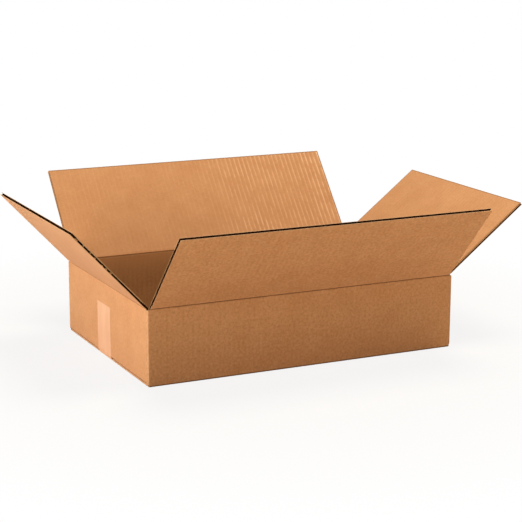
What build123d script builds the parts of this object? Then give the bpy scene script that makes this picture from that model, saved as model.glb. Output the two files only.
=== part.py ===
from build123d import *
import os
from math import radians, tan

# Shallow corrugated box, set up and taped below, with its four top flaps standing open.
# It is one folded blank of single-wall board. +X runs along the box, +Y to its back, +Z up, and
# the origin is on the surface it stands on, under the middle of the box. Sizes are millimetres.

# Inside of the box
inside_length = 457.0
inside_width = 305.0
inside_depth = 99.0  # from the inner bottom flaps up to the creases of the long flaps

# Board: two flat liners with a fluted sheet glued between them
board = 4.0
liner = 0.4
medium = 0.3
flute_pitch = 7.4
flute_crest = 1.8  # flat of the wave that is glued to a liner
cut_flute = 3.0  # how deep a flute lies open along an edge that was cut beside it

# Folds and cuts of the blank
corner_radius = 3.0
bottom_fold_radius = 3.0
slot_inset = 4.5  # from the box's corner to the side of a long flap
short_slot_inset = 5.0  # from the box's corner to the side of a short flap
slot_clearance = 0.5  # between a flap's side and the wall beside its crease
slot_past_crease = 2.5
end_step = 2.0  # how far the outer bottom flaps stop short of the ends
seam_gap = 2.0  # between the tips of two long flaps that are folded shut
joint_step = 2.0  # how far the glued end panel stops short of the back
glue_tab_width = 35.0
glue_tab_cut = 12.0  # slant at each end of the tab
glue_tab_clearance = 1.0

# Creases: a wall and its flap are crushed to two thin edges that meet at the crease's axis
long_crease_depth = 3.0  # from the outer face in to the axis, on the long flaps
short_crease_depth = 0.0  # the short flaps turn about their outer face and lie under the long ones
crease_gap = 0.3
crease_play = 2.0  # degrees left between the two crushed edges at each end of the travel
crushed_land = 1.5  # from the crushed edge to the first open flute
stack_clearance = 0.3
closed_angle = 90.0  # from upright to folded shut, inwards
open_angle = 130.0  # from upright to folded back, outwards

# How far each flap leans out from upright, in degrees
front_angle = 42.3
back_angle = 40.3
left_angle = 43.2
right_angle = 52.2

# Sealing tape: one strip along the bottom seam and up both ends
tape_width = 50.0
tape_thickness = 0.1
tape_rise = 76.0
tape_shift = 7.0  # it was laid a little behind the seam
tape_clearance = 0.05

# Worked out from the sizes above
outer_length = inside_length + 2 * board
outer_width = inside_width + 2 * board
long_crease = inside_depth + 2 * board
short_crease = long_crease - (board - long_crease_depth) - short_crease_depth - stack_clearance
long_span = outer_length - 2 * slot_inset
short_span = outer_width - 2 * short_slot_inset
long_reach = outer_width / 2 - long_crease_depth - seam_gap / 2
short_reach = long_reach + long_crease - short_crease
inner_half_angle = (closed_angle - crease_play) / 2
outer_half_angle = (180 - open_angle - crease_play) / 2
past = 1.0  # how far a cutting shape runs out of the board

# Each side of the box, as the turn that brings the front to it
FRONT = 0
RIGHT = 90
BACK = 180
LEFT = -90


def on_side(turn, height, shape):
    """Puts a shape on one side: local X along the wall, Y inwards from its outer face."""
    half_span = outer_width / 2 if turn in (FRONT, BACK) else outer_length / 2
    return Rot(0, 0, turn) * Pos(0, -half_span, height) * shape


def run(depth, half_angle):
    """How far a crushed flank runs along the board before it has come out by depth."""
    return depth / tan(radians(half_angle))


def prism(points, span):
    """A shape with one section in Y and Z, centred along X."""
    section = Plane.YZ * make_face(Polyline(*points, close=True))
    return extrude(section, amount=span / 2, both=True)


def crease_cut(axis_depth, span):
    """What is crushed away above a wall's top edge, with the crease's axis at height 0."""
    outer = tan(radians(outer_half_angle))
    inner = tan(radians(inner_half_angle))
    points = [
        (-past, -run(axis_depth + past, outer_half_angle)),
        (axis_depth - crease_gap * outer, -crease_gap),
        (axis_depth + crease_gap * inner, -crease_gap),
        (board + past, -run(board - axis_depth + past, inner_half_angle)),
        (board + past, board),
        (-past, board),
    ]
    return prism(points, span)


def rounded_step(width, height, round_off):
    """A step that is cut from an edge, with a rounded shoulder where the board folds."""
    outline = Polyline(
        (0, height + round_off),
        (-past, height + round_off),
        (-past, -past),
        (width, -past),
        (width, height),
    )
    shoulder = CenterArc((width, height + round_off), round_off, 180, 90)
    return make_face(outline + shoulder)


def long_walls():
    """Front wall, back wall and the two outer bottom flaps, which meet at the seam."""
    outside = Pos(0, long_crease / 2) * Rectangle(outer_width, long_crease)
    below = outside.vertices().group_by(Axis.Y)[0]
    outside = fillet(below, bottom_fold_radius)
    inside = Pos(0, board + long_crease / 2) * Rectangle(inside_width, long_crease)
    seam = Pos(0, board / 2) * Rectangle(seam_gap, board + 2 * past)
    section = Plane.YZ * (outside - inside - seam)
    return extrude(section, amount=outer_length / 2, both=True)


def end_wall(turn):
    """An end wall with its inner bottom flap, which lies on the outer two."""
    wall = Pos(0, board / 2, (board + short_crease) / 2) * Box(outer_width, board, short_crease - board)
    inner_flap = Pos(0, short_reach / 2, 1.5 * board) * Box(short_span, short_reach, board)
    return on_side(turn, 0, wall + inner_flap)


def bottom_flute_ends(turn):
    """The flutes that show in the tip of an inner bottom flap."""
    ends = flute_channels(short_span, short_reach - cut_flute, short_reach)
    return [on_side(turn, 2 * board, Rot(-closed_angle, 0, 0) * end) for end in ends]


def glue_tab():
    """The tab of the back wall that is glued inside the right end wall."""
    low = 2 * board + glue_tab_clearance
    high = short_crease - board - glue_tab_clearance
    inner_end = outer_width / 2 - board
    points = [
        (inner_end, low),
        (inner_end, high),
        (inner_end - glue_tab_width, high - glue_tab_cut),
        (inner_end - glue_tab_width, low + glue_tab_cut),
    ]
    face = Plane.YZ * make_face(Polyline(*points, close=True))
    return Pos(outer_length / 2 - board, 0, 0) * extrude(face, amount=-board)


def corner_slots():
    """The blank's slots, which run a little past the creases at each corner."""
    low = long_crease - slot_past_crease
    slot = Pos(0, 0, low + board) * Box(2 * slot_inset, 2 * slot_inset, 2 * board)
    corners = [(x, y) for x in (-1, 1) for y in (-1, 1)]
    return [Pos(x * outer_length / 2, y * outer_width / 2, 0) * slot for x, y in corners]


def bottom_edge_cut(side):
    """The step below an end wall's fold, and the flute that lies open in the flaps' cut edge."""
    step = extrude(Plane.XZ * rounded_step(end_step, board, end_step), amount=outer_width, both=True)
    span = outer_width - 2 * bottom_fold_radius - 2 * board
    flute = Pos(end_step + cut_flute / 2, 0, board / 2) * Box(cut_flute, span, board - 2 * liner)
    cut = Pos(-outer_length / 2, 0, 0) * (step + flute)
    return cut if side < 0 else mirror(cut, Plane.YZ)


def joint_cut():
    """The corner where the blank was closed: the end panel's cut edge stops short of the back."""
    height = long_crease + 2 * past
    step = extrude(rounded_step(joint_step, 0, joint_step), amount=height)
    step = Rot(0, 0, 180) * Pos(0, 0, -past) * step
    corner = Pos(outer_length / 2 - board, outer_width / 2, 0)
    panel_end = Box(board + past, joint_step + past, height, align=Align.MIN)
    panel_end = Pos(outer_length / 2 - board, outer_width / 2 - joint_step, -past) * panel_end
    flute = Box(board - 2 * liner, cut_flute, height, align=Align.MIN)
    flute_place = Pos(outer_length / 2 - board + liner, outer_width / 2 - joint_step - cut_flute, 2 * board)
    return [corner * step, panel_end, flute_place * flute]


def tape_bed():
    """The board gives under the tape, so that the tape lies flush with the bottom."""
    width = tape_width + 2 * tape_clearance
    depth = tape_thickness + tape_clearance
    return Pos(0, tape_shift, depth / 2 - past / 2) * Box(2 * outer_length, width, depth + past)


def carton_body():
    """The four walls and the closed bottom, which stay where they are."""
    body = long_walls() + end_wall(LEFT) + end_wall(RIGHT)
    outline = RectangleRounded(outer_length, outer_width, corner_radius)
    body = body & extrude(outline, amount=long_crease)
    body += glue_tab()
    long_cut = crease_cut(long_crease_depth, long_span + 2 * slot_clearance)
    short_cut = crease_cut(short_crease_depth, short_span + 2 * slot_clearance)
    cuts = [on_side(turn, long_crease, long_cut) for turn in (FRONT, BACK)]
    cuts += [on_side(turn, short_crease, short_cut) for turn in (LEFT, RIGHT)]
    cuts += corner_slots() + joint_cut()
    cuts += [bottom_edge_cut(-1), bottom_edge_cut(1), tape_bed()]
    cuts += bottom_flute_ends(LEFT) + bottom_flute_ends(RIGHT)
    return body - cuts


def flute_channels(span, start, reach):
    """The open flutes of a flap, which run out of its free edge, and out of its two sides."""
    core = board - 2 * liner
    slope = flute_pitch / 2 - flute_crest
    web = medium * (slope**2 + core**2) ** 0.5 / core
    wide = flute_pitch / 2 - flute_crest / 2 - web / 2
    narrow = wide - slope * (core - medium) / core
    crest = board - liner - medium
    outer_wave = [(-wide, liner), (wide, liner), (narrow, crest), (-narrow, crest)]
    inner_wave = [(x, board - y) for x, y in outer_wave]
    each_way = int((span / 2 - wide - medium - cut_flute / 2) / (flute_pitch / 2))
    channels = []
    for index in range(-each_way, each_way + 1):
        face = make_face(Polyline(*(outer_wave if index % 2 else inner_wave), close=True))
        flute = extrude(face, amount=reach - start + past)
        channels.append(Pos(index * flute_pitch / 2, 0, start) * flute)
    last = each_way * flute_pitch / 2 + wide + medium
    side = Box(span / 2 - last + past, core, reach - start + past, align=Align.MIN)
    side = Pos(last, liner, start) * side
    return channels + [side, mirror(side, Plane.YZ)]


def flap(turn, axis_height, axis_depth, span, reach, lean):
    """One top flap: upright in its side's frame, crushed and fluted, then leant out about its crease."""
    slab = Box(span, board, reach, align=(Align.CENTER, Align.MIN, Align.MIN))
    crushed = mirror(crease_cut(axis_depth, span + 2 * past), Plane.XY)
    start = max(run(axis_depth, outer_half_angle), run(board - axis_depth, inner_half_angle)) + crushed_land
    upright = slab - crushed - flute_channels(span, start, reach)
    leant = Pos(0, axis_depth, 0) * Rot(lean, 0, 0) * Pos(0, -axis_depth, 0) * upright
    return on_side(turn, axis_height, leant)


def long_flap(turn, lean):
    """A front or back flap, as long as half the box is wide."""
    return flap(turn, long_crease, long_crease_depth, long_span, long_reach, lean)


def short_flap(turn, lean):
    """A left or right flap, cut from the same straight edge of the blank."""
    return flap(turn, short_crease, short_crease_depth, short_span, short_reach, lean)


def sealing_tape():
    """A strip that bridges the step at each end and sticks to both end walls."""
    face_x = outer_length / 2 + tape_clearance
    foot_x = outer_length / 2 - end_step + tape_clearance
    bend_z = board + end_step / 2
    outer_path = [
        (face_x + tape_thickness, tape_rise),
        (face_x + tape_thickness, bend_z),
        (foot_x + tape_thickness, 0),
    ]
    inner_path = [(foot_x, tape_thickness), (face_x, bend_z), (face_x, tape_rise)]
    left_outer = [(-x, z) for x, z in reversed(outer_path)]
    left_inner = [(-x, z) for x, z in reversed(inner_path)]
    section = make_face(Polyline(*outer_path, *left_outer, *left_inner, *inner_path, close=True))
    return Pos(0, tape_shift, 0) * extrude(Plane.XZ * section, amount=tape_width / 2, both=True)


parts = {
    "carton_body": carton_body(),
    "front_flap": long_flap(FRONT, front_angle),
    "back_flap": long_flap(BACK, back_angle),
    "left_flap": short_flap(LEFT, left_angle),
    "right_flap": short_flap(RIGHT, right_angle),
    "sealing_tape": sealing_tape(),
}

os.makedirs("parts", exist_ok=True)
for name, shape in parts.items():
    export_step(shape, f"parts/{name}.step")
    size = shape.bounding_box().size
    print(f"{name}: {size.X:.1f} x {size.Y:.1f} x {size.Z:.1f} mm, {shape.volume:.0f} mm3")
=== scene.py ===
# %% [markdown]
# # A corrugated box, built the way its blank is built
#
# The box is one sheet of single-wall board: two flat liners with a fluted sheet glued between them.
# The sheet is cut, creased, folded and taped. This lesson makes every panel of it as real board,
# stands the panels where the frame's solids stand, and lets the creases bend between wall and flap.

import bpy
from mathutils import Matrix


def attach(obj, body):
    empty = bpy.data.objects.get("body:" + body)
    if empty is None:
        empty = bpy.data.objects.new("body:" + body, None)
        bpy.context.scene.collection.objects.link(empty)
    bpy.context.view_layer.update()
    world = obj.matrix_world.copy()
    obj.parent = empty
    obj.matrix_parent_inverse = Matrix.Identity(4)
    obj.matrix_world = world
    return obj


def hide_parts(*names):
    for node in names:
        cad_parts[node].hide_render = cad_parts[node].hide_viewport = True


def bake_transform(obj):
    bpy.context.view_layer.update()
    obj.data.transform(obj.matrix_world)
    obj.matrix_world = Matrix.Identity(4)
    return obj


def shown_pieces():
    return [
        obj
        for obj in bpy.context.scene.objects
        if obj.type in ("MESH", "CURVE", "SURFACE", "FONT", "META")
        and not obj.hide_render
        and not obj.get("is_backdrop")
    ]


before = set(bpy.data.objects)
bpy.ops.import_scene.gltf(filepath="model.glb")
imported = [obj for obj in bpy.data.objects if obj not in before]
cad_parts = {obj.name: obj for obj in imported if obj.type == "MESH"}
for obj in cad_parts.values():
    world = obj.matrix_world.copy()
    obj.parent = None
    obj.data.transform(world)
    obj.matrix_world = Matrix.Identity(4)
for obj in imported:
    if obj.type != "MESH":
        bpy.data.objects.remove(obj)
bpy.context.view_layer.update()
print("the frame holds", sorted(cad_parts))

# %% Tools
from math import ceil, copysign, cos, exp, pi, radians, sin

import bmesh
import bpy
from mathutils import Matrix, Vector, noise

# %% [markdown]
# ## Sizes
#
# These are the sizes of the real box in metres. Everything below is worked out from them, so that
# the board, its flutes and its creases stay in step with the solids of the frame.

# %% Sizes of the box and its board
MM = 0.001
BOARD = 4.0 * MM
LINER = 0.40 * MM
MEDIUM = 0.25 * MM  # the fluted sheet's own thickness
PITCH = 7.4 * MM  # from one flute to the next

# The outside of the box, and the axes that the flaps of its long and short sides turn about
HALF_LENGTH = 232.5 * MM
HALF_WIDTH = 156.5 * MM
LONG_CREASE = 107.0 * MM
SHORT_CREASE = 105.7 * MM
CREASE_REACH = 9.0 * MM  # from an axis to where its wall and its flap begin

# The flaps: how wide they are, how far they reach from their axis, and the cuts beside them
LONG_SPAN = 456.0 * MM
SHORT_SPAN = 303.0 * MM
LONG_REACH = 152.5 * MM
SHORT_REACH = 153.8 * MM
SLOT_BOTTOM = 104.5 * MM
SEAM_GAP = 2.0 * MM
END_STEP = 2.0 * MM  # how far the outer bottom flaps stop short of the ends

# The sides, as the turn in degrees that brings the front to each
FRONT, RIGHT, BACK, LEFT = 0, 90, 180, -90
SIDES = (FRONT, BACK, LEFT, RIGHT)
LONG_SIDES = (FRONT, BACK)
LEAN = {FRONT: 42.3, BACK: 40.3, LEFT: 43.2, RIGHT: 52.2}  # of a top flap, out from upright
NAME = {FRONT: "front", BACK: "back", LEFT: "left", RIGHT: "right"}


def by_side(long_side, short_side):
    """One value for the two long sides and another for the two short ones."""
    return {FRONT: long_side, BACK: long_side, LEFT: short_side, RIGHT: short_side}


OUTER_FACE = by_side(HALF_WIDTH, HALF_LENGTH)  # how far it stands from the middle of the box
AXIS_DEPTH = by_side(3.0 * MM, 0.0)  # from the outer face in to the axis of the top flap
AXIS_HEIGHT = by_side(LONG_CREASE, SHORT_CREASE)
SPAN = by_side(LONG_SPAN, SHORT_SPAN)
print("a long flap is", round(LONG_SPAN / PITCH, 1), "flutes wide")

# %% [markdown]
# ## The camera
#
# The camera comes first, because it decides what shows. It looks at the near left corner from a
# little above, with a long lens, as the photograph does. Its place is given as a direction, a
# distance and the point of the view that the origin falls on.

# %% Place the camera
AZIMUTH = radians(-25.717)
ELEVATION = radians(13.115)
ROLL = radians(0.24)
DISTANCE = 2.3524
ASIDE = 6.4 * MM
ABOVE = 112.5 * MM
LENS = 111.17


def place_camera():
    """A camera that looks along a direction and stands off its line by ASIDE and ABOVE."""
    back = Vector((sin(AZIMUTH) * cos(ELEVATION), -cos(AZIMUTH) * cos(ELEVATION), sin(ELEVATION)))
    level = Vector((0, 0, 1)).cross(back).normalized()
    upright = back.cross(level)
    right = level * cos(ROLL) + upright * sin(ROLL)
    up = upright * cos(ROLL) - level * sin(ROLL)
    bpy.ops.object.camera_add()
    camera = bpy.context.object
    turn = Matrix((right, up, back)).transposed().to_4x4()
    camera.matrix_world = Matrix.Translation(right * ASIDE + up * ABOVE + back * DISTANCE) @ turn
    camera.data.lens = LENS
    bpy.context.scene.camera = camera
    return camera


camera = place_camera()
print("camera stands at", [round(value, 3) for value in camera.matrix_world.translation])

# %% [markdown]
# ## Nodes
#
# Every look here is a tree of nodes that feed each other. A few helpers add a node with its values
# and link it, so that a material reads like a recipe.

# %% Helpers for nodes
def add_node(tree, kind, **inputs):
    """A node whose unlinked inputs are set by name."""
    node = tree.nodes.new(kind)
    for name, value in inputs.items():
        node.inputs[name.replace("_", " ")].default_value = value
    return node


def feed(tree, socket, value):
    """Links a socket to another one, or sets it to a plain value."""
    if isinstance(value, bpy.types.NodeSocket):
        tree.links.new(value, socket)
    else:
        socket.default_value = value


def math_node(tree, operation, *values):
    """A Math node fed by sockets or plain numbers."""
    node = tree.nodes.new("ShaderNodeMath")
    node.operation = operation
    for slot, value in enumerate(values):
        feed(tree, node.inputs[slot], value)
    return node.outputs[0]


def mix_colour(tree, factor, first, second):
    """A colour mix fed by sockets or plain colours, which are the mix node's inputs 0, 6 and 7."""
    node = tree.nodes.new("ShaderNodeMix")
    node.data_type = "RGBA"
    for slot, value in ((0, factor), (6, first), (7, second)):
        feed(tree, node.inputs[slot], value)
    return node.outputs[2]


def stretched_noise(tree, coordinates, stretch, scale, detail=4.0, roughness=0.6):
    """Noise that is drawn out along an axis, as fibres are."""
    mapping = add_node(tree, "ShaderNodeMapping", Scale=stretch)
    tree.links.new(coordinates, mapping.inputs["Vector"])
    cloud = add_node(tree, "ShaderNodeTexNoise", Scale=scale, Detail=detail, Roughness=roughness)
    tree.links.new(mapping.outputs[0], cloud.inputs["Vector"])
    return cloud.outputs["Fac"]


def spread(tree, value, low, high, out_low=0.0, out_high=1.0):
    """A smooth ramp of a value between two levels."""
    node = add_node(
        tree, "ShaderNodeMapRange", From_Min=low, From_Max=high, To_Min=out_low, To_Max=out_high
    )
    node.interpolation_type = "SMOOTHSTEP"
    tree.links.new(value, node.inputs["Value"])
    return node.outputs["Result"]


def relief(tree, height, strength, distance):
    """A Bump node over a height. Its first output is the normal."""
    node = add_node(tree, "ShaderNodeBump", Strength=strength, Distance=distance)
    tree.links.new(height, node.inputs["Height"])
    return node


def new_finish(name):
    """A new material with its nodes, its shader and the Object coordinates of a piece."""
    material = bpy.data.materials.new(name)
    material.use_nodes = True
    tree = material.node_tree
    place = tree.nodes.new("ShaderNodeTexCoord").outputs["Object"]
    return material, tree, tree.nodes["Principled BSDF"], place


def mix_shaders(tree, share, first, second, output):
    """Feeds an output with a mix of two shaders."""
    mix = tree.nodes.new("ShaderNodeMixShader")
    for slot, value in enumerate((share, first.outputs[0], second.outputs[0])):
        tree.links.new(value, mix.inputs[slot])
    tree.links.new(mix.outputs[0], output.inputs["Surface"])


# %% [markdown]
# ## Light and floor
#
# The box stands in a white studio. A soft lamp overhead lights the floor and the insides of the
# flaps, and the white floor throws light back up at the walls. A second lamp stands low on the
# left: it makes the end wall the brightest face, and it skims the back flap, which brings out the
# flutes beyond the shade of the left flap. A weak, warm one at the front keeps the near faces from
# going dull. The floor is white to the eye and keeps a faint shadow near the box.

# %% Lamps and world
AMBIENT = 0.11
AMBIENT_COLOUR = (1.0, 0.90, 0.74)
WARM = (1.0, 0.87, 0.68)
LAMP_AIM = (0, 0, 0.1)


def soft_lamp(name, place, size, power, colour=(1, 1, 1)):
    """A square area lamp at a place, turned to shine on the middle of the box."""
    bpy.ops.object.light_add(type="AREA", location=place)
    lamp = bpy.context.object
    lamp.name = name
    lamp.rotation_euler = (Vector(place) - Vector(LAMP_AIM)).to_track_quat("Z", "Y").to_euler()
    lamp.data.size = size
    lamp.data.energy = power
    lamp.data.color = colour
    return lamp


def studio_world():
    """White where the camera looks, and a plain soft light for everything else."""
    world = bpy.data.worlds.new("studio")
    world.use_nodes = True
    tree = world.node_tree
    tree.nodes.clear()
    rays = tree.nodes.new("ShaderNodeLightPath").outputs
    seen = math_node(tree, "MAXIMUM", rays["Is Camera Ray"], rays["Is Glossy Ray"])
    room = add_node(tree, "ShaderNodeBackground", Color=(*AMBIENT_COLOUR, 1), Strength=AMBIENT)
    paper = add_node(tree, "ShaderNodeBackground", Color=(1, 1, 1, 1))
    mix_shaders(tree, seen, room, paper, tree.nodes.new("ShaderNodeOutputWorld"))
    return world


bpy.context.scene.view_settings.view_transform = "Standard"
bpy.context.scene.world = studio_world()
key = soft_lamp("key_lamp", (-2.5, -0.48, 0.42), 0.8, 44)
top = soft_lamp("top_lamp", (0.4, -0.05, 2.6), 1.2, 69)
fill = soft_lamp("fill_lamp", (1.3, -2.2, 0.7), 1.0, 7.5, WARM)
print("lamps:", key.name, top.name, fill.name)

# %% The floor
FLOOR_SIZE = 40.0
FLOOR_DROP = 0.2 * MM  # it lies this far below the box
FLOOR_COLOUR = (0.71, 0.60, 0.45, 1)  # what it throws back at the box
FLOOR_LOOK = 0.88  # how much plain white is mixed into it near the box
FLOOR_NEAR, FLOOR_PLAIN = 0.3, 0.75  # from where, and up to where, it turns all white


def floor_finish():
    """Pale paper that reads as white, with a little of its lit self mixed in near the box."""
    material = bpy.data.materials.new("studio_floor")
    material.use_nodes = True
    tree = material.node_tree
    tree.nodes.clear()
    matt = add_node(tree, "ShaderNodeBsdfDiffuse", Color=FLOOR_COLOUR)
    white = add_node(tree, "ShaderNodeEmission", Color=(1, 1, 1, 1))
    distance = tree.nodes.new("ShaderNodeVectorMath")
    distance.operation = "LENGTH"
    place = tree.nodes.new("ShaderNodeTexCoord").outputs["Object"]
    tree.links.new(place, distance.inputs[0])
    plain = spread(tree, distance.outputs["Value"], FLOOR_NEAR, FLOOR_PLAIN, FLOOR_LOOK, 1.0)
    camera_ray = tree.nodes.new("ShaderNodeLightPath").outputs["Is Camera Ray"]
    share = math_node(tree, "MULTIPLY", camera_ray, plain)
    mix_shaders(tree, share, matt, white, tree.nodes.new("ShaderNodeOutputMaterial"))
    return material


bpy.ops.mesh.primitive_plane_add(size=FLOOR_SIZE, location=(0, 0, -FLOOR_DROP))
floor = bpy.context.object
floor.name = "studio_floor"
bpy.ops.object.transform_apply()
floor.data.materials.append(floor_finish())
floor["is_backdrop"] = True
print("floor is", FLOOR_SIZE, "m wide")

# %% [markdown]
# ## Kraft paper
#
# Liner paper is brown because its wood fibres are left unbleached. Close up it is a felt of long
# fibres, with dark and pale flecks and soft clouds where the pulp lay thicker. Over the crests of
# the flutes it is painted paler, as a highlight where slanting light would catch the washboard. The
# fibres lie across the flutes, so a panel needs to know which way those run. The inner liner is
# made of cheaper, darker stock than the outer one. Down inside the box it is painted darker still,
# as shade, and it is painted paler again toward the top of the walls, as light from the opening.

# %% Kraft liner
OUTER = ((0.70, 0.350, 0.156, 1), (0.56, 0.252, 0.098, 1), (0.82, 0.460, 0.240, 1))
INNER = ((0.56, 0.256, 0.096, 1), (0.45, 0.184, 0.060, 1), (0.67, 0.340, 0.145, 1))
# The tones down in the box are the inner liner painted darker, as shade.
SHADED_DEEP = ((0.41, 0.228, 0.099, 1), (0.34, 0.169, 0.064, 1), (0.50, 0.294, 0.139, 1))
# Painted light: the tone that the liner down in the box takes toward the top of the walls.
TOP_LIGHT = (0.60, 0.335, 0.150, 1)
FLECK = (0.36, 0.14, 0.05, 1)
# A painted highlight: the tone of the crests where the back flap's washboard catches the light.
RIDGE_HIGHLIGHT = (0.88, 0.52, 0.27, 1)
TOP_LIGHT_FROM, TOP_LIGHT_TO = 62.0 * MM, LONG_CREASE + 8.0 * MM  # heights above the floor
GROWS_FROM, GROWS_TO = -20.0 * MM, 170.0 * MM  # along X, where the back flap's washboard grows
CLOUDED = 0.80  # share of the plain tone over the soft clouds
MOTTLE_DARK, MOTTLE_PALE = 0.56, 0.50  # shares of the mottles a few millimetres wide


def flute_crests(tree, place, along, inner, grows):
    """1 on the lines where a flute holds the liner, 0 between them, fading in and out in patches.

    They are painted paler, as highlights on the crests. Where they grow, they are thin, broken
    highlights that are strong at one end only.
    """
    phase = math_node(tree, "MULTIPLY", along, 2 * pi / PITCH)
    wave = math_node(tree, "COSINE", math_node(tree, "ADD", phase, pi if inner else 0.0))
    raised = math_node(tree, "MULTIPLY_ADD", wave, 0.5, 0.5)
    crest = math_node(tree, "POWER", raised, 4.0 if grows else 1.6)
    wide = stretched_noise(tree, place, (1, 1, 1), 9, 2, 0.5)
    patches = spread(tree, wide, 0.35, 0.65, 0.4, 1.0)
    if grows:
        growth = spread(tree, along, GROWS_FROM, GROWS_TO, 0.10, 1.0)
        short = stretched_noise(tree, place, (1, 0.5, 0.5), 130, 2, 0.5)
        breaks = spread(tree, short, 0.36, 0.58, 0.25, 1.0)
        patches = math_node(tree, "MULTIPLY", patches, growth)
        patches = math_node(tree, "MULTIPLY", patches, breaks)
    return math_node(tree, "MULTIPLY", crest, patches)


def kraft_liner(name, across, tones, washboard, mottled, inner=True, grows=False, lit_at_top=False):
    """Kraft paper whose fibres lie along the axis `across`, over flutes that repeat along it.

    washboard says how strongly the flutes show, in the bump and in the highlights painted on their
    crests; mottled says how strongly the mottles show.
    """
    tone, dark, pale = tones
    material, tree, shader, place = new_finish(name)
    links = tree.links
    axes = tree.nodes.new("ShaderNodeSeparateXYZ")
    links.new(place, axes.inputs[0])
    along_fibre = (0.16, 1, 1) if across == "X" else (1, 0.16, 1)

    clouds = stretched_noise(tree, place, (1, 1, 1), 30, 5, 0.6)
    mottle = stretched_noise(tree, place, (1, 1, 1), 300, 2, 0.6)
    felt = stretched_noise(tree, place, along_fibre, 900, 6, 0.7)
    grain = stretched_noise(tree, place, (1, 1, 1), 1700, 3, 0.6)
    flecks = stretched_noise(tree, place, along_fibre, 700, 2, 0.5)

    # Each layer: its noise, the levels where it sets in and where it is full, its share, its tint
    layers = (
        (mottle, 0.52, 0.34, MOTTLE_DARK * mottled, dark),
        (mottle, 0.52, 0.68, MOTTLE_PALE * mottled, pale),
        (felt, 0.40, 0.30, 0.34, dark),
        (grain, 0.56, 0.74, 0.30, pale),
        (flecks, 0.28, 0.20, 0.40, FLECK),
    )
    colour = mix_colour(tree, spread(tree, clouds, 0.3, 0.72), dark, pale)
    colour = mix_colour(tree, CLOUDED, colour, tone)
    for layer, low, high, share, tint in layers:
        colour = mix_colour(tree, spread(tree, layer, low, high, 0.0, share), colour, tint)

    # Painted light: the liner is paler toward the top of the walls, where more light comes in.
    if lit_at_top:
        height = spread(tree, axes.outputs["Z"], TOP_LIGHT_FROM, TOP_LIGHT_TO)
        colour = mix_colour(tree, height, colour, TOP_LIGHT)

    # Painted highlights: the crests are paler, as where slanting light would catch them, and on the
    # back flap they grow toward its right end.
    crests = flute_crests(tree, place, axes.outputs[across], inner, grows)
    crest_highlight = math_node(tree, "MULTIPLY", crests, washboard)
    colour = mix_colour(tree, crest_highlight, colour, RIDGE_HIGHLIGHT if grows else pale)
    links.new(colour, shader.inputs["Base Color"])

    rough = spread(tree, felt, 0.3, 0.7, 0.86, 0.70)
    links.new(rough, shader.inputs["Roughness"])
    shader.inputs["Specular IOR Level"].default_value = 0.16
    shader.inputs["Sheen Weight"].default_value = 0.25
    shader.inputs["Sheen Roughness"].default_value = 0.35
    shader.inputs["Sheen Tint"].default_value = (0.95, 0.97, 1.0, 1)

    fine = relief(tree, felt, 0.22, 0.05 * MM)
    ribs = relief(tree, crests, washboard, 0.08 * MM)
    links.new(fine.outputs[0], ribs.inputs["Normal"])
    links.new(ribs.outputs[0], shader.inputs["Normal"])
    return material


KRAFT_X = kraft_liner("kraft_liner_x", "X", OUTER, 0.08, 1.0, inner=False)
KRAFT_Y = kraft_liner("kraft_liner_y", "Y", OUTER, 0.08, 0.5, inner=False)
INNER_X = kraft_liner("inner_liner_x", "X", INNER, 0.9, 0.3, grows=True)
INNER_Y = kraft_liner("inner_liner_y", "Y", INNER, 0.2, 0.4)
SHADED_DEEP_X = kraft_liner("shaded_deep_liner_x", "X", SHADED_DEEP, 0.3, 0.6, lit_at_top=True)
SHADED_DEEP_Y = kraft_liner("shaded_deep_liner_y", "Y", SHADED_DEEP, 0.3, 0.6, lit_at_top=True)
INSIDE_OF = {KRAFT_X: (INNER_X, SHADED_DEEP_X), KRAFT_Y: (INNER_Y, SHADED_DEEP_Y)}
KRAFT = by_side(KRAFT_X, KRAFT_Y)
print("liners:", [material.name for pair in INSIDE_OF.values() for material in pair])

# %% [markdown]
# The fluted sheet is coarser paper, painted near black, as the shade deep in its flutes. The cut
# edges are torn fibre, which is paler than the face of the liner. A paler rubbed tone serves the
# torn scraps, and on the round of a corner fold it is a painted highlight. A dark tone is painted
# shade in the creases, under the feet of the long walls and along some cut edges. A piece of board
# carries all of them in the same order, so that one number picks the finish of a face.

# %% Fluting and cut edges
def rough_paper(name, colour, other, scale, steps=(0.35, 0.65)):
    """A coarse paper that varies between two colours."""
    material, tree, shader, place = new_finish(name)
    cloud = stretched_noise(tree, place, (1, 1, 1), scale, 5, 0.65)
    mixed = mix_colour(tree, spread(tree, cloud, *steps), colour, other)
    tree.links.new(mixed, shader.inputs["Base Color"])
    shader.inputs["Roughness"].default_value = 0.95
    shader.inputs["Specular IOR Level"].default_value = 0.0
    bump = relief(tree, cloud, 0.5, 0.08 * MM)
    tree.links.new(bump.outputs[0], shader.inputs["Normal"])
    return material


# Painted shade: the fluting is near black, as the shade deep in its flutes.
FLUTE_SHADE, FLUTE_SHADE_PALE = (0.045, 0.013, 0.004, 1), (0.20, 0.070, 0.022, 1)
SHADED_FLUTING = rough_paper("fluting_in_shade", FLUTE_SHADE, FLUTE_SHADE_PALE, 330, (0.52, 0.64))
CUT_EDGE = rough_paper("cut_edge", (0.84, 0.54, 0.30, 1), (0.66, 0.38, 0.18, 1), 900)
# Rubbed paper for the torn scraps; on the round of a corner fold the same tone is a painted
# highlight.
WORN_AND_HIGHLIGHT = rough_paper("rubbed_paper_and_highlight", (0.84, 0.50, 0.27, 1), (0.70, 0.36, 0.17, 1), 400)
# Painted shade in the creases, under the feet of the long walls and along some cut edges.
SHADE_PAPER = rough_paper("painted_shade_paper", (0.38, 0.190, 0.080, 1), (0.30, 0.140, 0.055, 1), 500)
print("edges:", SHADED_FLUTING.name, CUT_EDGE.name, WORN_AND_HIGHLIGHT.name, SHADE_PAPER.name)

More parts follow.
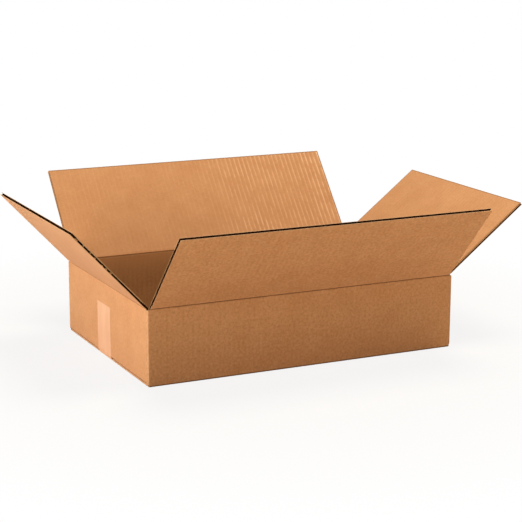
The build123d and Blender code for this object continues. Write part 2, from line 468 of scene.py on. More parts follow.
# %% One number for each finish
# OUTSIDE is the outer liner, INSIDE the inner one on the flaps and SHADED_BELOW the one down in the
# box, which is painted darker as shade. The core is painted near black and the pressed tone dark,
# both as shade, and the rubbed tone is also a painted highlight.
OUTSIDE, TORN, SHADED_CORE, INSIDE, SHADED_BELOW, RUBBED_AND_HIGHLIGHT, PAINTED_SHADE = range(7)


def paint(piece, kraft):
    """The finishes of a piece of board, in the order of their numbers."""
    for material in (kraft, CUT_EDGE, SHADED_FLUTING, *INSIDE_OF[kraft], WORN_AND_HIGHLIGHT, SHADE_PAPER):
        piece.data.materials.append(material)


def paint_faces(piece, rule):
    """Gives each face the finish that the rule picks from its centre and its normal."""
    for face in piece.data.polygons:
        face.material_index = rule(face.center, face.normal)


# %% [markdown]
# ## Modelling helpers
#
# Each operator works on what is selected, so a few helpers select one piece, apply a modifier or
# pick faces by their place. `reshape` moves every point of a mesh by one rule. It stands in for
# tools such as Bend, which need an open window.

# %% Helpers for pieces
def select_only(piece):
    """Nothing but this piece is selected, and it is the active one."""
    bpy.ops.object.select_all(action="DESELECT")
    piece.select_set(True)
    bpy.context.view_layer.objects.active = piece


def apply_modifier(piece, kind, **settings):
    """Adds a modifier with its settings and applies it at once."""
    select_only(piece)
    modifier = piece.modifiers.new(kind.lower(), kind)
    for name, value in settings.items():
        setattr(modifier, name, value)
    bpy.ops.object.modifier_apply(modifier=modifier.name)


def reshape(piece, rule):
    """Moves each point of a piece to where the rule puts it."""
    for vertex in piece.data.vertices:
        vertex.co = rule(*vertex.co)
    piece.data.update()


def smooth_step(value, low, high):
    """0 below low, 1 above high, and a soft step between them."""
    share = min(max((value - low) / (high - low), 0.0), 1.0)
    return share * share * (3 - 2 * share)


def grid_sheet(name, low, high, columns, rows, height=0.0):
    """A flat sheet of quads between two corners."""
    bpy.ops.object.select_all(action="DESELECT")
    bpy.ops.mesh.primitive_grid_add(x_subdivisions=columns, y_subdivisions=rows, size=1)
    sheet = bpy.context.object
    sheet.name = sheet.data.name = name
    sheet.scale = (high[0] - low[0], high[1] - low[1], 1)
    sheet.location = ((low[0] + high[0]) / 2, (low[1] + high[1]) / 2, height)
    bpy.ops.object.transform_apply()
    return sheet


def block(name, low, high):
    """A cube primitive at its size and place, ready to be shaped."""
    bpy.ops.object.select_all(action="DESELECT")
    bpy.ops.mesh.primitive_cube_add(size=1)
    piece = bpy.context.object
    piece.name = piece.data.name = name
    piece.scale = [b - a for a, b in zip(low, high)]
    piece.location = [(a + b) / 2 for a, b in zip(low, high)]
    bpy.ops.object.transform_apply()
    return piece


def join(pieces, name):
    """Joins pieces into the first one."""
    select_only(pieces[0])
    for piece in pieces:
        piece.select_set(True)
    if len(pieces) > 1:
        bpy.ops.object.join()
    whole = bpy.context.object
    whole.name = whole.data.name = name
    return whole


def pick(piece, domain, test):
    """In edit mode, selects the faces or edges whose centre and direction pass a test."""
    bpy.ops.mesh.select_all(action="DESELECT")
    bpy.ops.mesh.select_mode(type="FACE" if domain == "faces" else "EDGE")
    mesh = bmesh.from_edit_mesh(piece.data)
    for element in getattr(mesh, domain):
        if domain == "faces":
            chosen = test(element.calc_center_median(), element.normal)
        else:
            ends = [vertex.co for vertex in element.verts]
            chosen = test((ends[0] + ends[1]) / 2, (ends[1] - ends[0]).normalized())
        element.select_set(bool(chosen))
    mesh.select_flush_mode()
    bmesh.update_edit_mesh(piece.data)


# %% [markdown]
# ## A panel of board
#
# Every panel is made flat, with its inside down on the table and its outside up. The fluted sheet
# is one wave, repeated by an Array and trimmed to width. Each liner is a thin sheet that sinks a
# few hundredths of a millimetre between the tips that hold it: that is the washboard one sees in
# slanting light. Where a crease is near, the washboard fades, because the board is crushed there.

# %% Liners and the fluted sheet
COLUMNS_PER_FLUTE = 8
STEPS_PER_WAVE = 12
EDGE_FADE = 6.0 * MM
WAVE_HEIGHT = (BOARD - 2 * LINER - MEDIUM) / 2
TIP_FLATNESS = 1.25
TRIM = 2.6 * MM  # how far the fluted sheet stops short of a panel's sides
TIP_TRIM = 0.8 * MM  # and of its free edge
EDGE_BAND = 1.3 * MM  # how wide the inside is painted dark along a cut, as shade beside the open flute


def wave_height(x):
    """The height of the fluted sheet above the middle of the board, with flattened tips."""
    return WAVE_HEIGHT * sin(TIP_FLATNESS * cos(2 * pi * x / PITCH)) / sin(TIP_FLATNESS)


def liner_sheet(name, low, high, rows, outside, depth, cut_sides, cut_end):
    """One liner with its washboard. depth is how far it sinks, as a function of x."""
    columns = round((high[0] - low[0]) / PITCH * COLUMNS_PER_FLUTE)
    sheet = grid_sheet(name, low, high, columns, rows, BOARD if outside else 0.0)
    side = -1 if outside else 1

    def washboard(x, y, z):
        free = (1 + side * cos(2 * pi * x / PITCH)) / 2
        fade = smooth_step(x, low[0], low[0] + EDGE_FADE)
        fade *= smooth_step(-x, -high[0], -high[0] + EDGE_FADE)
        fade *= smooth_step(y, low[1], low[1] + EDGE_FADE)
        if not cut_end:
            fade *= smooth_step(-y, -high[1], -high[1] + EDGE_FADE)
        return x, y, z + side * depth(x) * free * fade

    reshape(sheet, washboard)
    lines = [((0, high[1] - EDGE_BAND, 0), (0, 1, 0))] if cut_end else []
    if cut_sides:
        lines += [((low[0] + EDGE_BAND, 0, 0), (1, 0, 0)), ((high[0] - EDGE_BAND, 0, 0), (1, 0, 0))]
    rule_lines(sheet, lines)
    return sheet


def rule_lines(sheet, lines):
    """Cuts new edges into a piece along planes, each given by a point and a normal."""
    select_only(sheet)
    bpy.ops.object.mode_set(mode="EDIT")
    for point, normal in lines:
        bpy.ops.mesh.select_all(action="SELECT")
        bpy.ops.mesh.bisect(plane_co=point, plane_no=normal)
    bpy.ops.object.mode_set(mode="OBJECT")


def fluted_sheet(name, low, high, rows):
    """The wave between the liners: one flute, repeated, trimmed to width and thickened."""
    sheet = grid_sheet(name, (-PITCH / 2, low[1]), (PITCH / 2, high[1]), STEPS_PER_WAVE, rows)
    reshape(sheet, lambda x, y, z: (x, y, BOARD / 2 + wave_height(x)))
    each_side = ceil((high[0] - low[0]) / PITCH / 2)
    select_only(sheet)
    sheet.location.x = round((low[0] + high[0]) / 2 / PITCH) * PITCH - each_side * PITCH
    bpy.ops.object.transform_apply()
    apply_modifier(
        sheet, "ARRAY", count=2 * each_side + 1,
        use_relative_offset=False, use_constant_offset=True, constant_offset_displace=(PITCH, 0, 0),
        use_merge_vertices=True, merge_threshold=0.01 * MM,
    )
    bpy.ops.object.mode_set(mode="EDIT")
    for edge, outwards in ((low[0] + TRIM, -1), (high[0] - TRIM, 1)):
        bpy.ops.mesh.select_all(action="SELECT")
        bpy.ops.mesh.bisect(plane_co=(edge, 0, 0), plane_no=(outwards, 0, 0), clear_outer=True)
    bpy.ops.object.mode_set(mode="OBJECT")
    apply_modifier(sheet, "SOLIDIFY", thickness=MEDIUM, offset=0)
    return sheet


# %% A whole panel
LINER_SINK = 0.05 * MM  # how far a liner sinks between two flutes
RIM = 0.05 * MM  # faces that lie as near to a panel's border are cut
CORE_DEPTH = 0.8 * LINER  # faces that lie deeper are inside the board


def board_panel(
    name, low, high, kraft, rows=8, inside=SHADED_BELOW, inside_sink=None, cut_sides=True, cut_end=True
):
    """A flat panel of board between two corners of its plane."""
    def finish(centre, normal):
        to_side = min(centre.x - low[0], high[0] - centre.x)
        to_end = min(centre.y - low[1], high[1] - centre.y)
        if min(to_side, to_end) < RIM:
            return TORN
        # Painted shade: faces between the liners are near black, as shade in the flutes.
        if min(centre.z, BOARD - centre.z) > CORE_DEPTH:
            return SHADED_CORE
        # Painted shade: the inside along a cut edge is dark, beside the open flute.
        if normal.z < 0:
            beside_cut = cut_sides and to_side < EDGE_BAND
            below_cut = cut_end and high[1] - centre.y < EDGE_BAND
            return PAINTED_SHADE if beside_cut or below_cut else inside
        return OUTSIDE

    sheets = []
    for outside, sink in ((True, None), (False, inside_sink)):
        label = name + ("_outside" if outside else "_inside")
        depth = sink or (lambda x: LINER_SINK)
        sheets.append(liner_sheet(label, low, high, rows, outside, depth, cut_sides, cut_end))
        apply_modifier(sheets[-1], "SOLIDIFY", thickness=LINER, offset=-1 if outside else 1)
    high_trimmed = (high[0], high[1] - (TIP_TRIM if cut_end else 0.0))
    sheets.append(fluted_sheet(name + "_fluting", low, high_trimmed, rows))
    panel = join(sheets, name)
    paint(panel, kraft)
    paint_faces(panel, finish)
    return panel


# %% [markdown]
# Where a knife has cut along a flute, its wall is often pressed flat against one liner, and the
# edge is closed but for a thin dark gap. Elsewhere the knife was blunt: scraps of the torn flute
# still stand in the open edge, or the outer liner is drawn back from it.

# %% Crushed and torn edges
EDGE_DEPTH = 1.5 * MM
EDGE_RECESS = 0.1 * MM
SCRAPS = 7
SCRAP_HEIGHT = 1.1 * MM
SCRAP_LENGTH = 2.6 * MM
SHORT_LINER = 0.7 * MM
OUTER_LINER = BOARD - 1.3 * LINER  # points that lie higher in a panel belong to its outer liner


def crushed_edge(sign, half, root, tip, layer, look, kraft):
    """The pressed flute along one side of a flat panel. layer is what it fills, in mm."""
    ends = sorted((sign * (half - EDGE_RECESS), sign * (half - EDGE_DEPTH)))
    edge = block("crushed_edge", (ends[0], root, layer[0] * MM), (ends[1], tip, layer[1] * MM))
    paint(edge, kraft)
    paint_faces(edge, lambda centre, normal: look)
    return edge


def torn_scraps(sign, half, root, tip, kraft):
    """Scraps of flute that a blunt knife has left in one side of a flat panel.

    Each has its own place, height, depth and length, drawn from noise between -1 and 1.
    """
    scraps = []
    for number in range(SCRAPS):
        along, up, size = [noise.noise(Vector((number * 3.7, seed, 0.5))) for seed in (1, 2, 3)]
        start = root + (tip - root) * (number + 0.5 + 0.7 * along) / SCRAPS
        low = BOARD / 2 + (1.6 * up - 0.5) * MM
        depth = half - (0.2 + 0.5 * abs(size)) * MM
        ends = sorted((sign * depth, sign * (half - 2 * EDGE_DEPTH)))
        stop = start + SCRAP_LENGTH + 4.0 * MM * size
        scrap = block("torn_scrap", (ends[0], start, low), (ends[1], stop, low + SCRAP_HEIGHT))
        paint(scrap, kraft)
        paint_faces(scrap, lambda centre, normal: RUBBED_AND_HIGHLIGHT)
        scraps.append(scrap)
    return scraps


def shorten_liner(panel, half):
    """Draws the outer liner back at the panel's side at negative x, and bares the open flute."""
    def drawn_back(x, y, z):
        at_side = x < RIM - half and z > OUTER_LINER
        return x + SHORT_LINER * at_side, y, z

    reshape(panel, drawn_back)


# %% [markdown]
# ## Standing the panels up
#
# A panel is laid on its side of the box by one matrix: it is stood up with its outside outwards,
# moved to its wall, leant about its crease and turned to its side. The matrix is applied to the
# mesh, so each finished piece has its place in its points and its object at the origin.

# %% Placing
SMOOTH_BELOW = radians(32)


def on_side(side, height, lean=0.0, inwards=0.0):
    """Stands a flat panel on a side of the box, leant out about its crease."""
    turn = Matrix.Rotation(radians(side), 4, "Z")
    axis = Matrix.Translation((0, AXIS_DEPTH[side], 0))
    leant = axis @ Matrix.Rotation(radians(lean), 4, "X") @ axis.inverted()
    stood_up = Matrix.Translation((0, BOARD + inwards, 0)) @ Matrix.Rotation(pi / 2, 4, "X")
    return turn @ Matrix.Translation((0, -OUTER_FACE[side], height)) @ leant @ stood_up


def lying(side, height):
    """Lays a flat panel inwards from a side, with its outside down."""
    turn = Matrix.Rotation(radians(side), 4, "Z")
    moved = Matrix.Translation((0, -OUTER_FACE[side], height + BOARD))
    return turn @ moved @ Matrix.Rotation(pi, 4, "Y")


def settle(piece, matrix=None):
    """Puts a piece in its place and smooths its shallow edges."""
    if matrix is not None:
        piece.data.transform(matrix)
    select_only(piece)
    bpy.ops.object.shade_smooth_by_angle(angle=SMOOTH_BELOW)


def hand_over(piece, body, node=None):
    """Tells the frame what a piece moves with and which solid it replaces."""
    if body:
        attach(piece, body)
    if node:
        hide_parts(node)
    return piece


# %% [markdown]
# ## The four walls
#
# Each wall is a panel between its bottom fold and the crease of its top flap. It bows out by half a
# millimetre in the middle, as a box does that has been folded flat and opened again.

# %% Walls
WALL_BOW = 0.5 * MM


def wall_ends(side):
    """The heights between which a wall is one flat panel."""
    foot = BOARD if side in LONG_SIDES else 2 * BOARD
    return foot, AXIS_HEIGHT[side] - CREASE_REACH


def bow(side, x, height):
    """How far a wall bows out at a point of it."""
    foot, head = wall_ends(side)
    share = min(max((height - foot) / (head - foot), 0.0), 1.0)
    return WALL_BOW * (1 - (2 * x / SPAN[side]) ** 2) * 4 * share * (1 - share)


def wall(side):
    """One wall, from the fold at its foot up to where the crease begins."""
    half = SPAN[side] / 2
    foot, head = wall_ends(side)
    name = NAME[side] + "_wall"
    low, high = (-half, foot), (half, head)
    panel = board_panel(name, low, high, KRAFT[side], cut_sides=False, cut_end=False)
    reshape(panel, lambda x, y, z: (x, y, z + bow(side, x, y)))
    settle(panel, on_side(side, 0))
    return hand_over(panel, "box", "carton_body")


walls = [wall(side) for side in SIDES]
print("walls:", [piece.name for piece in walls])

# %% [markdown]
# ## The four top flaps
#
# A flap is the same board, standing open. The back flap shows its washboard most, on its right
# half, and the free edges of the two end flaps are bruised back by a few millimetres. The left
# flap's front side is the torn one, and the front flap's left side has lost a little of its outer
# liner.

# %% Top flaps
DEEP_WASHBOARD = 0.26 * MM
SCRAP_START, SCRAP_END = 62.0 * MM, 138.0 * MM  # from the axis
SCRAP_LAYER = (0.2, 0.9)
TIP_LOSS = {LEFT: 6.0 * MM, RIGHT: 4.5 * MM}  # what the bruised free edges have lost

# The pressed flutes of a flap: the panel's side, the layer of the board in mm, and the finish.
# The dark finish on the back and right flaps is painted shade, which keeps their lit side edges
# dark.
PRESSED_SIDES = {
    BACK: ((1, (0.7, 3.8), PAINTED_SHADE), (-1, (2.0, 3.8), PAINTED_SHADE)),
    LEFT: ((1, (3.4, 3.8), TORN),),
    RIGHT: ((-1, (0.2, 1.8), OUTSIDE), (1, (1.2, 3.8), PAINTED_SHADE)),
}


def back_flap_sink(x):
    """The back flap is corrugated most at its right end, which is at negative x of its panel."""
    return LINER_SINK + (DEEP_WASHBOARD - LINER_SINK) * smooth_step(-x, GROWS_FROM, GROWS_TO)


def top_flap(side):
    """One top flap, from its crushed root to its free edge."""
    name = NAME[side] + "_flap_board"
    kraft = KRAFT[side]
    half = SPAN[side] / 2
    reach = LONG_REACH if side in LONG_SIDES else SHORT_REACH - TIP_LOSS[side]
    sink = back_flap_sink if side == BACK else None
    panel = board_panel(name, (-half, CREASE_REACH), (half, reach), kraft, 10, INSIDE, sink)
    if side == FRONT:
        shorten_liner(panel, half)
    edges = [
        crushed_edge(sign, half, CREASE_REACH, reach, layer, look, kraft)
        for sign, layer, look in PRESSED_SIDES.get(side, ())
    ]
    if side == LEFT:
        edges.append(crushed_edge(1, half, CREASE_REACH, SCRAP_END, SCRAP_LAYER, TORN, kraft))
        edges += torn_scraps(1, half, SCRAP_START, SCRAP_END, kraft)
    panel = join([panel] + edges, name)
    settle(panel, on_side(side, AXIS_HEIGHT[side], LEAN[side]))
    return hand_over(panel, NAME[side] + "_flap", NAME[side] + "_flap")


flaps = [top_flap(side) for side in SIDES]
print("flaps:", [piece.name for piece in flaps])

# %% [markdown]
# ## The creases
#
# A crease is a line where a wheel has crushed the board, so that it folds there. The strip here
# reaches a little into the wall and into the flap. It is pressed to a valley on both faces and bent
# to the flap's lean in a narrow zone. The valley outside and the score inside are painted dark, as
# shade in the crease. A wider bend would bulge into the flaps that lie on each other when shut.

# %% Creases
STRIP_ROWS = 36
STRIP_COLUMN = 3.0 * MM
FOLD_ZONE = 0.8 * MM
VALLEY = {FRONT: 1.7 * MM, BACK: 1.4 * MM, LEFT: 0.5 * MM, RIGHT: 0.5 * MM}
VALLEY_WIDTH = by_side(1.5 * MM, 1.15 * MM)
# How wide the valley outside is painted dark, as shade in the crease.
SHADE_ZONE = by_side(1.6 * MM, 0.5 * MM)
SCORE_DEPTH = 0.15 * MM
SCORE_WIDTH = 1.5 * MM
BEAD, BEAD_PLACE, BEAD_WIDTH = 0.10 * MM, 3.2 * MM, 1.2 * MM
WANDER = 0.15 * MM  # how far the line strays
UNEVEN = 0.25  # how much the depth varies along it
END_HOLLOW = 1.6 * MM


def crease_profile(side, x, y, z):
    """Crushes the flat strip: a valley outside, a score inside and a soft bead beside each."""
    offset = y - WANDER * noise.noise(Vector((x * 40, side, 0)))
    press = 1 + UNEVEN * noise.noise(Vector((x * 90, 7, side)))
    press *= exp(-((offset / VALLEY_WIDTH[side]) ** 2))
    bead = BEAD * exp(-(((abs(offset) - BEAD_PLACE) / BEAD_WIDTH) ** 2))
    if z > BOARD / 2:
        return x, y, z - VALLEY[side] * press + bead
    return x, y, z + SCORE_DEPTH * press - bead


def crease(side):
    """One crease strip, bent to the lean of its flap."""
    half = SPAN[side] / 2
    name = NAME[side] + "_crease"
    columns = round(2 * half / STRIP_COLUMN)
    low, high = (-half, -CREASE_REACH), (half, CREASE_REACH)
    strip = grid_sheet(name, low, high, columns, STRIP_ROWS, BOARD)
    paint(strip, KRAFT[side])
    apply_modifier(strip, "SOLIDIFY", thickness=BOARD, offset=-1, material_offset=INSIDE)
    open_ends(strip)
    paint_crease(strip, half, SHADE_ZONE[side])
    reshape(strip, lambda x, y, z: crease_profile(side, x, y, z))
    axis_z = BOARD - AXIS_DEPTH[side]

    def bend(x, y, z):
        angle = radians(LEAN[side]) * smooth_step(y, -FOLD_ZONE, FOLD_ZONE)
        up = z - axis_z
        return x, y * cos(angle) - up * sin(angle), axis_z + y * sin(angle) + up * cos(angle)

    reshape(strip, bend)
    place = on_side(side, AXIS_HEIGHT[side])
    settle(strip, place)
    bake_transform(strip)
    return hand_over(strip, None)


def open_ends(strip):
    """Leaves a rim of liner round each cut end of a strip and sinks its crushed core."""
    select_only(strip)
    bpy.ops.object.mode_set(mode="EDIT")
    for sign in (-1, 1):
        pick(strip, "faces", lambda centre, normal: normal.x * sign > 0.9)
        bpy.ops.mesh.inset(thickness=LINER, use_boundary=True)
        step = (-sign * END_HOLLOW, 0, 0)
        bpy.ops.mesh.extrude_region_move(TRANSFORM_OT_translate={"value": step})
    bpy.ops.object.mode_set(mode="OBJECT")


def paint_crease(strip, half, shaded_width):
    """Torn ends round a core painted dark as shade, and a line along the crease on both faces
    painted dark as shade.
    """
    def finish(centre, normal):
        if abs(centre.x) > half - EDGE_RECESS and abs(centre.y) < CREASE_REACH - 0.6 * LINER:
            return TORN
        if LINER / 2 < centre.z < BOARD - LINER / 2:
            return SHADED_CORE
        # Painted shade: the valley outside and the score inside are dark.
        if centre.z > BOARD / 2:
            return PAINTED_SHADE if abs(centre.y) < shaded_width else OUTSIDE
        if -SCORE_WIDTH < centre.y < 0:
            return PAINTED_SHADE
        return INSIDE if centre.y > 0 else SHADED_BELOW

    paint_faces(strip, finish)


creases = [crease(side) for side in SIDES]
print("creases:", [piece.name for piece in creases])

# %% [markdown]
# ## Corners
#
# The walls meet in vertical folds. Three of them are plain: the outside runs round in a small
# radius and the inside is nipped. At the top of each, the slot between two flaps shows the cut
# board, so the top of the fold is hollowed out and painted dark, as the shade in its flutes. The
# middle of the outer round is painted paler, as a highlight along the fold.

# %% Plain corner folds
CORNER_RADIUS = 2.2 * MM
FOOT_ROUND = 0.5 * MM
SLOT_HOLLOW = 3.0 * MM
X_END = LONG_SPAN / 2
Y_END = SHORT_SPAN / 2


def near(value, other):
    """Whether two places are the same, but for rounding."""
    return abs(value - other) < 0.01 * MM


def bevel_edges(piece, test, width, segments):
    """Rounds the edges that pass a test, in edit mode."""
    select_only(piece)
    bpy.ops.object.mode_set(mode="EDIT")
    pick(piece, "edges", test)
    bpy.ops.mesh.bevel(
        offset=width, offset_type="OFFSET", segments=segments, affect="EDGES", clamp_overlap=False
    )
    bpy.ops.object.mode_set(mode="OBJECT")


def hollow_face(piece, test, rim, depth):
    """Leaves a rim of liner round a face and sinks its middle, which is painted dark as the shade
    in the core.
    """
    select_only(piece)
    bpy.ops.object.mode_set(mode="EDIT")
    pick(piece, "faces", test)
    bpy.context.object.active_material_index = TORN
    bpy.ops.object.material_slot_assign()
    bpy.ops.mesh.inset(thickness=rim)
    bpy.context.object.active_material_index = SHADED_CORE
    bpy.ops.object.material_slot_assign()
    bpy.ops.mesh.extrude_region_move()
    bpy.ops.transform.translate(value=depth)
    bpy.ops.object.mode_set(mode="OBJECT")


def round_the_foot(centre, direction):
    """The lower edges of a corner that lie on its two outer faces and its round."""
    inner_side = near(centre.x, -X_END) or near(centre.y, -Y_END)
    return near(centre.z, BOARD) and not inner_side


def corner_fold(name, flip_x, flip_y):
    """A vertical fold. It is made at the front left and mirrored to its own corner."""
    def outer_edge(centre, direction):
        return near(centre.x, -HALF_LENGTH) and near(centre.y, -HALF_WIDTH)

    fold = block(name, (-HALF_LENGTH, -HALF_WIDTH, BOARD), (-X_END, -Y_END, SLOT_BOTTOM))
    paint(fold, KRAFT_X)
    bevel_edges(fold, outer_edge, CORNER_RADIUS, 6)
    bevel_edges(fold, round_the_foot, FOOT_ROUND, 3)

    # Painted light and shade: the middle of the outer round is paler, as a highlight along the
    # fold, and the inside faces are darker, as shade in the box.
    def finish(centre, normal):
        if min(normal.x, normal.y) < -0.1 and abs(normal.x - normal.y) < 0.5:
            return RUBBED_AND_HIGHLIGHT
        return SHADED_BELOW if max(normal.x, normal.y) > 0.5 else OUTSIDE

    paint_faces(fold, finish)
    hollow_face(fold, lambda c, n: n.z > 0.9, LINER, (0, 0, -SLOT_HOLLOW))
    flip = Matrix.Diagonal((-1 if flip_x else 1, -1 if flip_y else 1, 1, 1))
    fold.data.transform(flip)
    if flip_x != flip_y:
        fold.data.flip_normals()
    settle(fold)
    return hand_over(fold, "box", "carton_body")


corners = [
    corner_fold("front_left_fold", False, False),
    corner_fold("front_right_fold", True, False),
    corner_fold("back_left_fold", False, True),
]
print("corners:", [piece.name for piece in corners])

# %% [markdown]
# The fourth corner is where the blank was closed. The back wall folds round into a tab that is
# glued inside the end wall, and the end wall's cut edge stops just short of the fold, with a flute
# open.

# %% The glued corner
JOINT_STEP = 2.0 * MM
TAB_WIDTH = 35.0 * MM
TAB_CUT = 12.0 * MM
TAB_FOOT = 9.0 * MM
TAB_HEAD = 100.7 * MM
JOINT_REACH = 4.5 * MM
JOINT_HOLLOW = 2.6 * MM


def glued_corner():
    """The fold of the back wall and the cut edge of the end wall beside it."""
    inner = HALF_LENGTH - BOARD

    def outer_edge(centre, direction):
        return near(centre.x, inner) and near(centre.y, HALF_WIDTH)

    low, high = (inner - JOINT_REACH, Y_END, BOARD), (inner, HALF_WIDTH, SLOT_BOTTOM)
    fold = block("joint_fold", low, high)
    paint(fold, KRAFT_X)
    bevel_edges(fold, outer_edge, JOINT_STEP, 5)
    hollow_face(fold, lambda c, n: n.z > 0.9, LINER, (0, 0, -SLOT_HOLLOW))
    low, high = (inner, Y_END, BOARD), (HALF_LENGTH, HALF_WIDTH - JOINT_STEP, SLOT_BOTTOM)
    edge = block("joint_edge", low, high)
    paint(edge, KRAFT_Y)
    hollow_face(edge, lambda c, n: n.y > 0.9, LINER, (0, -JOINT_HOLLOW, 0))
    corner = join([fold, edge], "back_right_fold")
    settle(corner)
    return hand_over(corner, "box", "carton_body")


def glue_tab():
    """The tab inside the end wall, with its two slanting ends cut off."""
    half = TAB_WIDTH / 2
    tab = board_panel("glue_tab", (-half, TAB_FOOT), (half, TAB_HEAD), KRAFT_Y, 2, cut_end=False)
    select_only(tab)
    bpy.ops.object.mode_set(mode="EDIT")
    for end, up in ((TAB_FOOT, -1), (TAB_HEAD, 1)):
        bpy.ops.mesh.select_all(action="SELECT")
        corner = (half, end, 0)
        slant = Vector((-TAB_CUT, up * TAB_WIDTH, 0)).normalized()
        bpy.ops.mesh.bisect(plane_co=corner, plane_no=slant, clear_outer=True, use_fill=True)
    bpy.ops.object.mode_set(mode="OBJECT")
    tab.data.transform(Matrix.Translation((HALF_WIDTH - BOARD - half, 0, 0)))
    settle(tab, on_side(RIGHT, 0, inwards=BOARD))
    return hand_over(tab, "box", "carton_body")


joint = [glued_corner(), glue_tab()]
print("joint:", [piece.name for piece in joint])

# %% [markdown]
# ## The bottom
#
# The two inner flaps lie on the outer two, which meet in the middle under the tape. The ends of
# their flutes show inside the box. Each is folded from its wall round a rounded edge, and the
# underside of that edge on the long sides, which the box stands on, is painted dark, as the shade
# where it meets the floor.

# %% The bottom
BOTTOM_RADIUS = 2.2 * MM
FOLD_HOLLOW = 2.0 * MM
SQUEEZED_LAYER = (1.4, 3.8)
TAPE_WIDTH = 50.0 * MM
TAPE_THICKNESS = 0.1 * MM
TAPE_CLEARANCE = 0.05 * MM
TAPE_SHIFT = 7.0 * MM
BED_SLOPE = 2.0 * MM


def bottom_place(side):
    """Half the width of a bottom flap and the height of its lower face."""
    return (HALF_LENGTH - END_STEP, 0.0) if side in LONG_SIDES else (Y_END, BOARD)


def bottom_fold(side):
    """The rounded edge between a wall and its bottom flap."""
    half, low = bottom_place(side)
    outer = -OUTER_FACE[side]

    def outer_edge(centre, direction):
        return near(centre.y, outer) and near(centre.z, low)

    # Painted shade: the underside of the round is dark where the box meets the floor.
    def finish(centre, normal):
        return PAINTED_SHADE if -0.99 < normal.z < -0.1 else OUTSIDE

    name = NAME[side] + "_bottom_fold"
    fold = block(name, (-half, outer, low), (half, outer + BOARD, low + BOARD))
    paint(fold, KRAFT[side])
    bevel_edges(fold, outer_edge, BOTTOM_RADIUS if side in LONG_SIDES else END_STEP, 6)
    if side in LONG_SIDES:
        paint_faces(fold, finish)
        for sign in (-1, 1):
            hollow_face(fold, lambda c, n: n.x * sign > 0.9, LINER, (-sign * FOLD_HOLLOW, 0, 0))
    settle(fold, Matrix.Rotation(radians(side), 4, "Z"))
    return hand_over(fold, "box", "carton_body")


def tape_bed(panel, side):
    """The outer liner gives under the tape, which so lies flush with the bottom."""
    toward = 1 if side == FRONT else -1
    edge = HALF_WIDTH - TAPE_WIDTH / 2 + toward * TAPE_SHIFT
    start, full = edge - BED_SLOPE, edge - BED_SLOPE / 4
    rule_lines(panel, [((0, start, 0), (0, 1, 0)), ((0, full, 0), (0, 1, 0))])
    depth = TAPE_THICKNESS + TAPE_CLEARANCE

    def give(x, y, z):
        return x, y, z - depth * (z > OUTER_LINER) * smooth_step(y, start, full)

    reshape(panel, give)


def bottom_flap(side):
    """A bottom flap, lying on the floor or on the outer two."""
    name = NAME[side] + "_bottom_flap"
    kraft = KRAFT[side]
    half, low = bottom_place(side)
    tip = HALF_WIDTH - SEAM_GAP / 2 if side in LONG_SIDES else SHORT_REACH
    panel = board_panel(name, (-half, BOARD), (half, tip), kraft, 2)
    if side in LONG_SIDES:
        tape_bed(panel, side)
        edges = [
            crushed_edge(sign, half, BOARD, tip, SQUEEZED_LAYER, OUTSIDE, kraft)
            for sign in (-1, 1)
        ]
        panel = join([panel] + edges, name)
    settle(panel, lying(side, low))
    return hand_over(panel, "box", "carton_body")


bottom = [make(side) for make in (bottom_fold, bottom_flap) for side in SIDES]
print("bottom:", [piece.name for piece in bottom])

# %% [markdown]
# ## The tape
#
# One strip of tan tape holds the bottom seam and runs up both ends. It is a thin sheet that is
# extruded along its way edge by edge. Its two ends have the small teeth of the cutter on the roll.

# %% Tape finish
TAPE_TAN = (0.85, 0.475, 0.262, 1)
TAPE_PALE = (0.92, 0.55, 0.338, 1)


def tape_finish():
    """Smooth film with a faint sheen, over board that shows through it a little."""
    material, tree, shader, place = new_finish("tan_tape")
    clouds = stretched_noise(tree, place, (1, 1, 0.3), 60, 4, 0.6)
    streaks = stretched_noise(tree, place, (1, 1, 0.05), 700, 3, 0.5)
    colour = mix_colour(tree, spread(tree, clouds, 0.35, 0.65), TAPE_TAN, TAPE_PALE)
    colour = mix_colour(tree, spread(tree, streaks, 0.35, 0.7, 0.0, 0.25), colour, TAPE_PALE)
    tree.links.new(colour, shader.inputs["Base Color"])
    tree.links.new(spread(tree, clouds, 0.3, 0.7, 0.32, 0.5), shader.inputs["Roughness"])
    shader.inputs["Specular IOR Level"].default_value = 0.4
    bump = relief(tree, streaks, 0.25, 0.05 * MM)
    tree.links.new(bump.outputs[0], shader.inputs["Normal"])
    return material


TAPE = tape_finish()
print("tape finish:", TAPE.name)

# %% The strip of tape
TAPE_RISE = 76.0 * MM
TEETH = 33
TAPE_STEPS = 8
TOOTH = 0.8 * MM

# The tape's way round the foot of a wall. It draws in a little over the wall's fold, and then each
# row says how far it stands out from its place at the flap's end, and how high.
DRAWN_IN = 0.3 * MM
TAPE_TURN = (
    (0.25 * MM, 1.2 * MM),
    (TAPE_CLEARANCE, 0.5 * MM),
    (TAPE_CLEARANCE, 0.12 * MM),
    (-TAPE_CLEARANCE, TAPE_THICKNESS / 2),
)


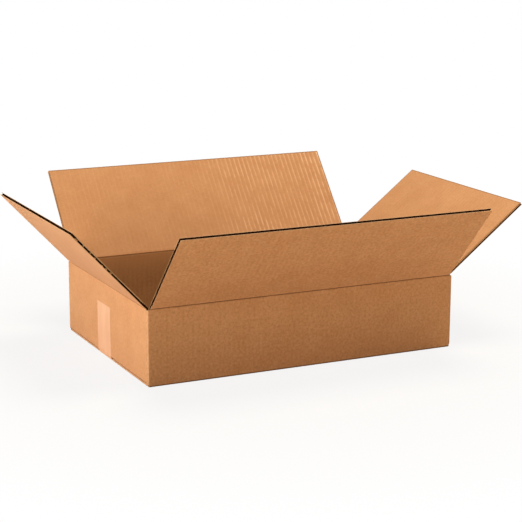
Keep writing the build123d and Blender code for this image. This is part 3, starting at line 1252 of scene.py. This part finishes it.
def tape_strip():
    """The strip, extruded from one cut end down a wall, under the box and up the other wall."""
    face = HALF_LENGTH + TAPE_CLEARANCE
    foot = HALF_LENGTH - END_STEP + TAPE_CLEARANCE
    down = [TAPE_RISE * step / TAPE_STEPS for step in range(TAPE_STEPS, 0, -1)]
    path = [(-face, height) for height in down]
    path += [(-face, BOARD + END_STEP), (-face + DRAWN_IN, BOARD)]
    path += [(-foot - out, height) for out, height in TAPE_TURN]
    path += [(-x, z) for x, z in reversed(path)]
    bpy.ops.object.select_all(action="DESELECT")
    bpy.ops.mesh.primitive_grid_add(x_subdivisions=2 * TEETH, y_subdivisions=1, size=1)
    strip = bpy.context.object
    strip.name = strip.data.name = "tape"
    bpy.ops.object.mode_set(mode="EDIT")
    pick(strip, "edges", lambda c, d: c.y < 0)
    bpy.ops.mesh.delete(type="VERT")
    bpy.ops.object.mode_set(mode="OBJECT")
    reshape(strip, lambda x, y, z: (path[0][0], TAPE_SHIFT + x * TAPE_WIDTH, path[0][1]))
    bpy.ops.object.mode_set(mode="EDIT")
    bpy.ops.mesh.select_all(action="SELECT")
    for before, after in zip(path, path[1:]):
        step = (after[0] - before[0], 0, after[1] - before[1])
        bpy.ops.mesh.extrude_region_move(TRANSFORM_OT_translate={"value": step})
    bpy.ops.object.mode_set(mode="OBJECT")
    return strip


def cut_teeth(strip):
    """Every second point of each end is drawn back, which leaves the cutter's teeth."""
    tooth_pitch = TAPE_WIDTH / TEETH

    def teeth(x, y, z):
        odd = round((y - TAPE_SHIFT) / (tooth_pitch / 2)) % 2
        return x, y, z - TOOTH * odd * (z > TAPE_RISE - 0.1 * MM)

    reshape(strip, teeth)


def press_on(strip):
    """The tape follows the bow of the two walls that it is stuck to."""
    reshape(strip, lambda x, y, z: (x + copysign(bow(LEFT, y, z), x), y, z))


tape = tape_strip()
cut_teeth(tape)
press_on(tape)
tape.data.materials.append(TAPE)
apply_modifier(tape, "SOLIDIFY", thickness=TAPE_THICKNESS, offset=0)
settle(tape)
hand_over(tape, "box", "sealing_tape")
print("tape:", len(tape.data.polygons), "faces")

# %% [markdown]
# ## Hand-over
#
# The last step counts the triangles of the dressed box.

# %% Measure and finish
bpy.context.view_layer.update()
triangles = sum(len(p.vertices) - 2 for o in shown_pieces() for p in o.data.polygons)
print("triangles", triangles)
